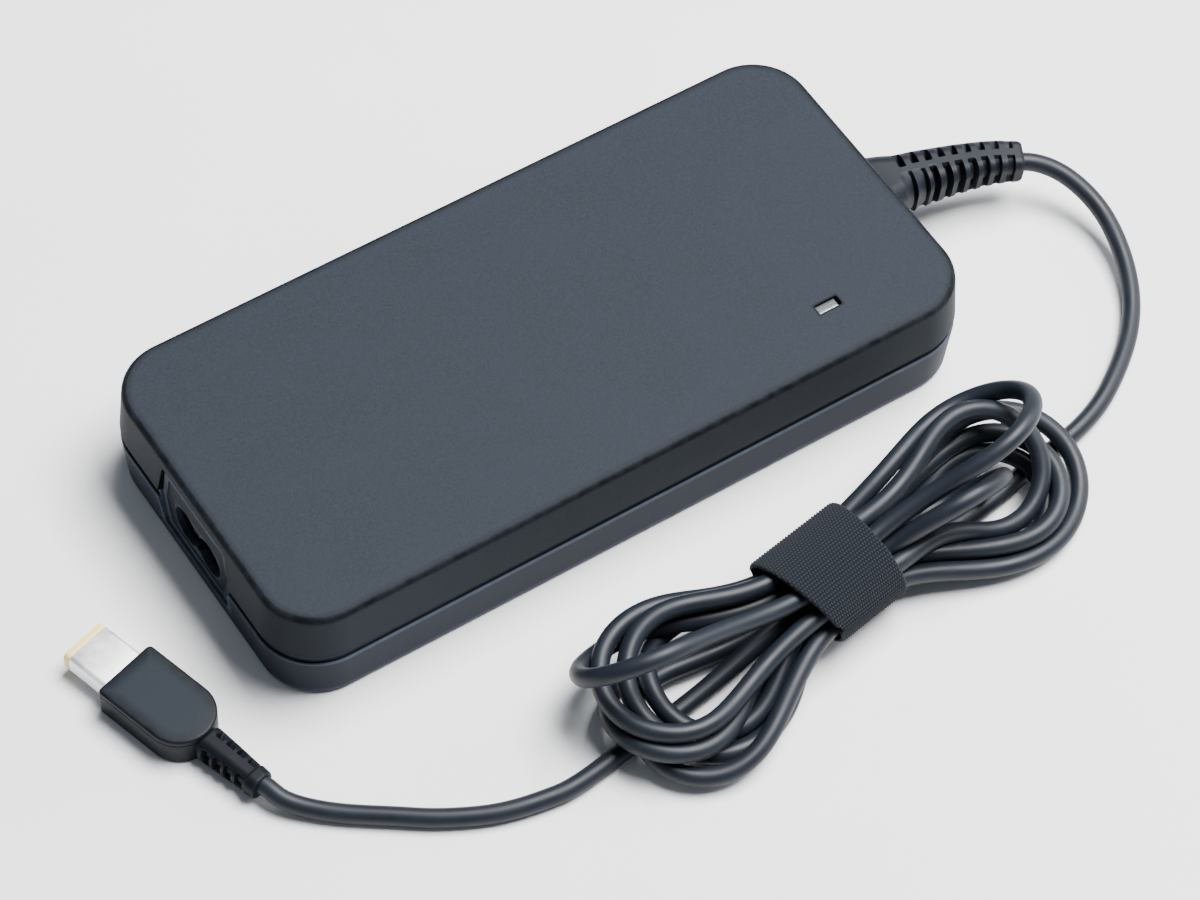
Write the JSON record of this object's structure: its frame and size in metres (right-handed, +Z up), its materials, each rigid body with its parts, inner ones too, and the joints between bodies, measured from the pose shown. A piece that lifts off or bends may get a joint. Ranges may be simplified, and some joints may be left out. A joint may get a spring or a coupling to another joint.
{
  "type": "laptop power adapter",
  "caption": "Slim two-shell laptop power adapter with a figure-8 mains inlet, and an output cord in a tied hank ending in a slim rectangular connector.",
  "frame": {"origin": "middle of the case's underside", "axes": "+X along the case towards the output cord, -X towards the mains inlet, +Z up, the cord's hank on the -Y side"},
  "size_m": [0.2208, 0.1235, 0.0237],
  "materials": {
    "upper_case": "fine matte moulded grain",
    "lower_case": "fine matte moulded grain",
    "inlet_plastic": "smooth moulded",
    "pin_metal": "nickel plated",
    "lens": "frosted light pipe",
    "led": "moulded",
    "label": "blank satin film",
    "boot_rubber": "matte moulded",
    "cord_jacket": "satin extruded jacket",
    "tie_fabric": "woven hook and loop",
    "connector_plastic": "fine matte moulded grain",
    "connector_metal": "nickel plated",
    "insulator": "pale yellow moulded",
    "board": "solder mask",
    "epoxy": "moulded epoxy",
    "film_capacitor": "moulded box",
    "ferrite": "sintered",
    "copper": "enamelled copper",
    "tape": "polyester tape",
    "aluminium": "rolled sheet",
    "can": "sleeved can",
    "disc": "dipped disc",
    "insulating_film": "polyester film",
    "wire_red": "extruded",
    "wire_black": "extruded",
    "wire_white": "extruded"
  },
  "bodies": {
    "root": {"upper_shell": "upper_case", "lower_shell": "lower_case", "inlet_socket": "inlet_plastic", "inlet_pin_line": "pin_metal", "inlet_pin_neutral": "pin_metal", "connector_centre_pin": "pin_metal", "led_lens": "lens", "status_led": "led", "rating_label": "label", "output_boot": "boot_rubber", "connector_boot": "boot_rubber", "cord_arc": "cord_jacket", "cord_lead": "cord_jacket", "cord_hank": "cord_jacket", "cord_tie": "tie_fabric", "connector_housing": "connector_plastic", "connector_shell": "connector_metal", "connector_insulator": "insulator", "main_board": "board", "controller_board": "board", "fuse": "epoxy", "bridge_rectifier": "epoxy", "boost_transistor": "epoxy", "main_transistor": "epoxy", "output_rectifier_a": "epoxy", "output_rectifier_b": "epoxy", "x_capacitor": "film_capacitor", "line_choke_core": "ferrite", "output_choke_core": "ferrite", "boost_inductor_core": "ferrite", "transformer_core": "ferrite", "line_choke_winding": "copper", "output_choke_winding": "copper", "boost_inductor_winding": "copper", "transformer_winding": "tape", "primary_heat_sink": "aluminium", "secondary_heat_sink": "aluminium", "upper_heat_spreader": "aluminium", "lower_heat_spreader": "aluminium", "bulk_capacitor": "can", "output_capacitor_1": "can", "output_capacitor_2": "can", "output_capacitor_3": "can", "y_capacitor": "disc", "insulating_sheet": "insulating_film", "output_wire_positive": "wire_red", "output_wire_negative": "wire_black", "output_wire_sense": "wire_white"}
  },
  "joints": []
}
